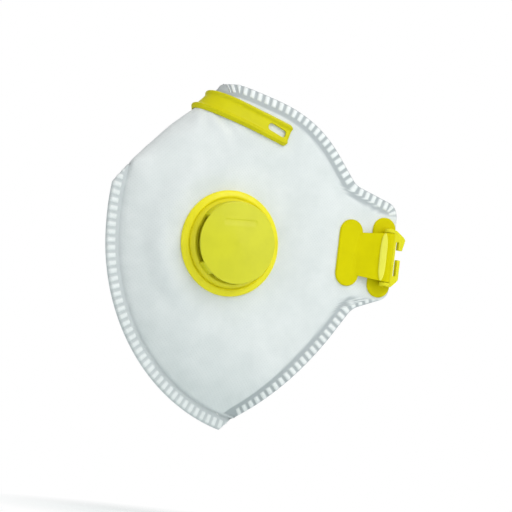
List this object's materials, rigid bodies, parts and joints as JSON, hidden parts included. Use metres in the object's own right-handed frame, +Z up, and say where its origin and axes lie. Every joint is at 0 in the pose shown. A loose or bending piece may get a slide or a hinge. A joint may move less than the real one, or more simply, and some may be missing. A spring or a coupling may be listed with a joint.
{
  "type": "fold-flat disposable dust mask",
  "caption": "White fold-flat disposable dust mask with a yellow nose clip, a round exhalation valve and yellow strap buckles, shown slightly open.",
  "frame": {"origin": "midway between the two strap tabs, on the plane of symmetry, at the middle of the face opening", "axes": "+Z up as worn, -Y towards the front seam and nose, +X towards the wearer's left cheek, the half with the valve"},
  "size_m": [0.0598, 0.1342, 0.1468],
  "materials": {
    "cover_fabric": "spunbond nonwoven, faint embossed points",
    "support_fabric": "stiff needled felt",
    "filter_fabric": "meltblown web",
    "lining_fabric": "soft spunbond nonwoven",
    "strip_plastic": "moulded yellow, satin",
    "valve_plastic": "moulded yellow, satin",
    "silicone": "thin milky silicone",
    "wire_steel": "annealed wire",
    "nose_foam": "closed-cell foam"
  },
  "bodies": {
    "left_half": {"outer_cover_left": "cover_fabric", "support_layer_left": "support_fabric", "filter_layer_left": "filter_fabric", "inner_lining_left": "lining_fabric", "nose_clip": "strip_plastic", "nose_clip_wires": "wire_steel", "nose_foam": "nose_foam", "valve_seat": "valve_plastic", "valve_retaining_ring": "valve_plastic", "valve_cover": "valve_plastic", "strap_pad_left": "strip_plastic"},
    "right_half": {"outer_cover_right": "cover_fabric", "support_layer_right": "support_fabric", "filter_layer_right": "filter_fabric", "inner_lining_right": "lining_fabric", "strap_pad_right": "strip_plastic"},
    "diaphragm": {"valve_diaphragm": "silicone"},
    "buckle_left_body": {"buckle_left": "strip_plastic"},
    "buckle_right_body": {"buckle_right": "strip_plastic"}
  },
  "joints": [
    {"name": "fold_open", "type": "hinge", "parent": "left_half", "child": "right_half", "pos_m": [0, -0.116, 0], "axis": [0, 0, 1], "range_deg": [0, 35], "deforming": ["nose_clip", "nose_clip_wires", "nose_foam"]},
    {"name": "diaphragm_flap", "type": "hinge", "parent": "left_half", "child": "diaphragm", "pos_m": [0.01807, -0.06438, 0.0032], "axis": [-0.1184, -0.993, 0], "range_deg": [0, 8], "stiffness_Nm_per_rad": 0.00002},
    {"name": "buckle_left_swing", "type": "hinge", "parent": "left_half", "child": "buckle_left_body", "pos_m": [0.02755, 0.00876, -0.003], "axis": [0, 0, -1], "range_deg": [-2, 108]},
    {"name": "buckle_right_swing", "type": "hinge", "parent": "right_half", "child": "buckle_right_body", "pos_m": [-0.02755, 0.00876, -0.003], "axis": [0, 0, 1], "range_deg": [-2, 108]}
  ]
}
